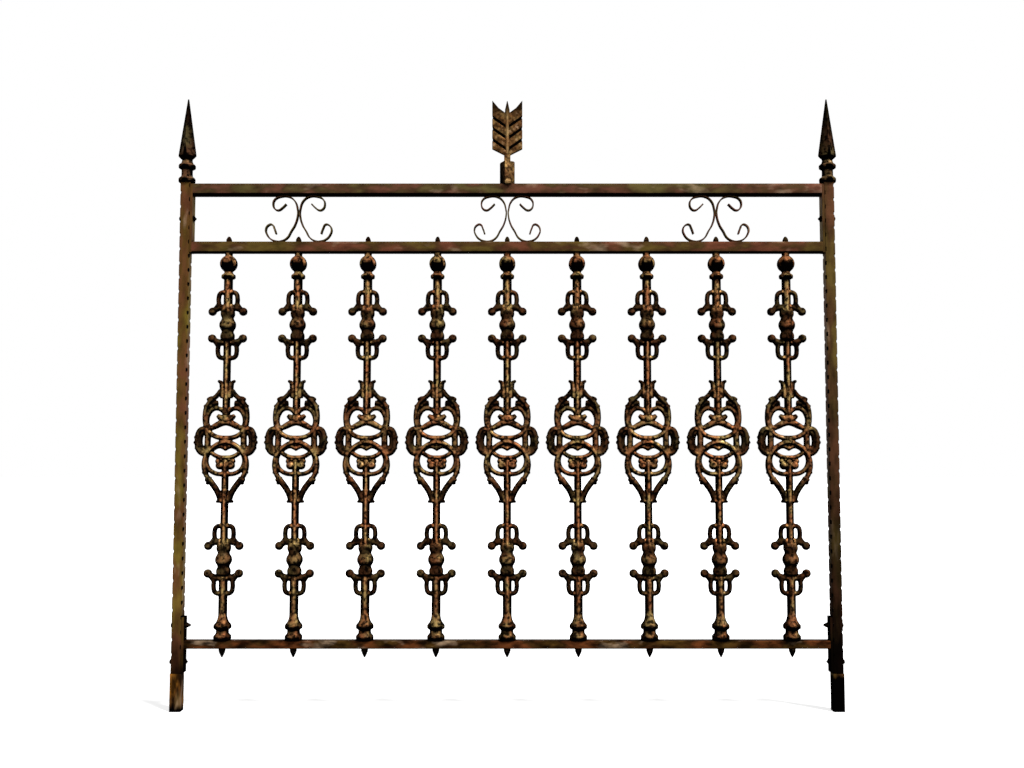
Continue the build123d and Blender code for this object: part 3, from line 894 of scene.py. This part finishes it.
forms = [addTurning("spearPoint", spear["point"], 4)]
forms += [addTurning(f"spear_{form}", spear[form], 32) for form in ("collar", "neck", "ring")]
oneSpear = joinPieces("spear", forms)
fuseCasting(oneSpear, spear["voxel"], spear["keptShare"])
for side in sides:
    node = f"{side}_spear_finial"
    piece = moveTo(copyOf(oneSpear, f"spearFinial_{side}"), middleXOf(node), 0, postTop)
    finishPiece(piece, spearBronze, "cast_iron_bronze", node)
bpy.data.objects.remove(oneSpear)


# Feather finial: a flat arrow feather of slanting barbs with a rib, in a turned socket on the top rail

feather = {
    "halfWidth": 38.3, "thickness": 9, "ease": 1.6,
    "seams": (30, 59, 88), "barbGap": 7, "barbRise": 26,  # grooves, by their heights at the rib
    "foot": (13, 32), "inset": 1,  # the lowest barb's underside, at the rib and at its tip
    "notchX": 12, "notchTop": 126, "ribTop": 127, "tipTop": 157.6, "topEase": 1.2,  # the notched top
    "webThickness": 5, "webInner": (14, 122), "webOuter": (34, 150),  # the black web inside the grooves: painted shade over the black paint there
    "stem": (16, 11, 18),
    "quill": [(17, 4), (30, 5.8), (60, 5.8), (118, 5.2), (127, 6.2), (135, 5.8), (157, 0.8)],
}


def makeBarb(inner, outer, ends, thickness, ease):
    # A slanting plate: inner and outer are (low, high) heights, ends are the two X values, both sides made.
    made = []
    for side in (-1, 1):
        barb = addBlock("barb", (ends[0], -thickness / 2, inner[0]), (ends[1], thickness / 2, inner[1]))
        pickPoints(barb, lambda x, y, z: x > ends[1] - hair and z > inner[1] - hair)
        bpy.ops.transform.translate(value=(0, 0, (outer[1] - inner[1]) * mm))
        pickPoints(barb, lambda x, y, z: x > ends[1] - hair and z < inner[0] + hair)
        bpy.ops.transform.translate(value=(0, 0, (outer[0] - inner[0]) * mm))
        bpy.ops.object.mode_set(mode="OBJECT")
        if ease:
            applyModifier(barb, "BEVEL", width=ease * mm, segments=3)
        made.append(flipSide(barb) if side < 0 else barb)
    return made


def barbPlans():  # (inner heights, outer heights, ends, ease) of each pair of barbs, from the foot up
    half = feather["halfWidth"]
    gap = feather["barbGap"] / 2
    rise = feather["barbRise"]
    seams = feather["seams"]
    inset = feather["inset"]
    notch = feather["notchX"]
    notchTop = feather["notchTop"]
    lowInner, lowOuter = feather["foot"]
    plans = [((lowInner, seams[0] - gap), (lowOuter, seams[0] - gap + rise), (inset, half), feather["ease"])]
    for lowSeam, highSeam in zip(seams, seams[1:]):
        plans.append(((lowSeam + gap, highSeam - gap), (lowSeam + gap + rise, highSeam - gap + rise),
                      (inset, half), feather["ease"]))
    lastSeam = seams[-1] + gap
    notchSeam = lastSeam + rise / half * notch
    plans.append(((lastSeam, feather["ribTop"]), (notchSeam, notchTop), (inset, notch + 1),
                  feather["topEase"]))
    plans.append(((notchSeam, notchTop), (lastSeam + rise, feather["tipTop"]), (notch, half),
                  feather["topEase"]))
    return plans


def makeFeather():
    foot = boxOf("feather_finial")[0][2]
    bronzeParts = []
    for inner, outer, ends, ease in barbPlans():
        bronzeParts += makeBarb(inner, outer, ends, feather["thickness"], ease)
    width, depth, height = feather["stem"]
    bronzeParts.append(addBlock("quillStem", (-width / 2, -depth / 2, 0), (width / 2, depth / 2, height)))
    for part in bronzeParts:
        part.data.materials.append(featherBronze)
    quill = addTurning("quill", feather["quill"], 16)
    quill.data.materials.append(ribLitBronze)
    # the black web in the grooves: painted shade, over the black paint that stays there
    web = joinPieces("featherWeb", makeBarb(feather["webInner"], feather["webOuter"],
                                            (0, feather["halfWidth"] - 1), feather["webThickness"], 0))
    web.data.materials.append(blackPaintAndShade)
    piece = joinPieces("featherFinial", bronzeParts + [web, quill])
    smoothShade(piece, 40)
    moveTo(piece, middleXOf("feather_finial"), 0, foot)
    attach(piece, "root")
    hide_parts("feather_finial")


socket = {"side": 28.6, "turn": 27, "chamfer": 5, "ease": 1.1}


def makeSocket():
    low, high = boxOf("feather_socket")
    half = socket["side"] / 2
    block = addBlock("featherSocket", (-half, -half, low[2]), (half, half, high[2]))
    pickFaces(block, lambda centre, normal: normal.z > 0.9)
    bpy.ops.mesh.bevel(offset=socket["chamfer"] * mm, segments=2, affect="EDGES")
    bpy.ops.object.mode_set(mode="OBJECT")
    easeEdges(block, 2, socket["ease"])
    moveTo(block, middleXOf("feather_socket"), 0, 0, (0, 0, socket["turn"]))
    finishPiece(block, socketBronze, "rail_steel_bronze", "feather_socket")


makeFeather()
makeSocket()
print("finials made")


# Weld beads, each a row of overlapping lumps

weld = {
    "radius": 2.6, "step": 3.4, "voxel": 0.7, "keptShare": 0.4,
    "front": -4, "sunk": 0.5,  # where the scrolls' beads lie
    "topReach": (30, 40), "footReach": (46, 58),  # from a pair's middle, at the upper and the lower rail
    "heap": ((-3, 5, 18), (0, 6, 19.5), (3, 6, 20), (6, 4.5, 19.5), (9, 2.5, 18)),  # (rise, half length, out)
    "heapAside": 1.5, "heapLean": 1,
}


def makeWelds(name, runs):  # runs are (start, end) points in millimetres
    lumps = []
    for start, end in runs:
        count = max(1, round(math.dist(start, end) / weld["step"]))
        for i in range(count + 1):
            share = i / count
            spot = [a + (b - a) * share for a, b in zip(start, end)]
            bpy.ops.mesh.primitive_uv_sphere_add(segments=12, ring_count=8, radius=weld["radius"] * mm,
                                                 location=[c * mm for c in spot])
            lumps.append(bpy.context.object)
            bakePlace(lumps[-1])
    piece = joinPieces(name, lumps)
    fuseCasting(piece, weld["voxel"], weld["keptShare"])
    # the rib's lighter bronze: a painted highlight on the proud bead
    piece.data.materials.append(ribLitBronze)
    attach(piece, "root")


def weldRuns():
    runs = []
    front = weld["front"]
    seats = ((weld["topReach"], topRailFoot - weld["sunk"]),
             (weld["footReach"], middleRailTop + weld["sunk"]))
    for over in scroll["over"]:
        x = balusterX[over - 1]
        for side in (-1, 1):
            for (near, far), level in seats:
                runs.append(((x + side * near, front, level), (x + side * far, front, level)))
    middle = middleXOf("feather_socket")
    foot = boxOf("feather_socket")[0][2]
    aside = weld["heapAside"]
    for side in (-1, 1):  # the socket's foot is welded to the rail in a round heap on its front and back
        for rise, reach, out in weld["heap"]:
            runs.append(((middle + side * (aside - reach), side * -out, foot + rise),
                         (middle + side * (aside + reach), side * -(out - weld["heapLean"]), foot + rise)))
    return runs


makeWelds("weldBeads", weldRuns())
print("welds laid")


# Floor, light and camera

studio = {
    "floorSize": 40, "floorTone": "#ececec", "floorRoughness": 0.9, "floorGlow": 0.75,  # the size in metres
    "keyStrength": 4.4, "keyTurn": (44, 0, 50), "keySoftness": 12, "fillStrength": 0.16,
    "camera": (826, -2555, 644), "pitchUp": 3.616, "lens": 35.86, "sensor": 36,
}


def seenBy(tree, *rays):  # 1 for these rays, and 0 for those that light the object
    path = addNode(tree, "LightPath")
    seen = path.outputs[rays[0]]
    for ray in rays[1:]:
        seen = addNode(tree, "Math", None, {0: seen, 1: path.outputs[ray]}, operation="MAXIMUM").outputs[0]
    return seen


deselectAll()
bpy.ops.mesh.primitive_plane_add(size=studio["floorSize"], location=(0.8, 0, 0))
floor = bpy.context.object
floor.name = "paleFloor"
floorPaint = bpy.data.materials.new("paleFloorPaint")
floorPaint.use_nodes = True
floorTree = floorPaint.node_tree
floorShader = floorTree.nodes["Principled BSDF"]
for inputName, value in (("Base Color", colour(studio["floorTone"])), ("Roughness", studio["floorRoughness"]),
                         ("Specular IOR Level", 0), ("Emission Color", (1, 1, 1, 1))):
    floorShader.inputs[inputName].default_value = value
glow = addNode(floorTree, "Math", {1: studio["floorGlow"]},
               {0: seenBy(floorTree, "Is Camera Ray", "Is Glossy Ray")}, operation="MULTIPLY").outputs[0]
floorTree.links.new(glow, floorShader.inputs["Emission Strength"])
floor.data.materials.append(floorPaint)

world = bpy.data.worlds.new("studioWorld")
bpy.context.scene.world = world
world.use_nodes = True
worldTree = world.node_tree
background = worldTree.nodes["Background"]
background.inputs["Color"].default_value = (1, 1, 1, 1)
shown = seenBy(worldTree, "Is Camera Ray", "Is Glossy Ray", "Is Transmission Ray")
strength = addNode(worldTree, "MapRange", {"To Min": studio["fillStrength"], "To Max": 1},
                   {"Value": shown}).outputs["Result"]
worldTree.links.new(strength, background.inputs["Strength"])

deselectAll()
bpy.ops.object.light_add(type="SUN", rotation=[math.radians(a) for a in studio["keyTurn"]])
key = bpy.context.object
key.name = "keyLight"
key.data.energy = studio["keyStrength"]
key.data.angle = math.radians(studio["keySoftness"])

cameraData = bpy.data.cameras.new("photoCamera")
cameraData.lens = studio["lens"]
cameraData.sensor_width = studio["sensor"]
cameraData.sensor_fit = "HORIZONTAL"
camera = bpy.data.objects.new("photoCamera", cameraData)
bpy.context.scene.collection.objects.link(camera)
camera.location = [c * mm for c in studio["camera"]]
camera.rotation_euler = (math.radians(90 + studio["pitchUp"]), 0, 0)
bpy.context.scene.camera = camera
bpy.context.scene.view_settings.view_transform = "Standard"
print("studio set")

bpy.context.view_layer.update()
total = sum(len(o.data.loop_triangles) or sum(len(p.vertices) - 2 for p in o.data.polygons)
            for o in bpy.context.scene.objects if o.type == "MESH" and not o.hide_render)
print("triangles", total)
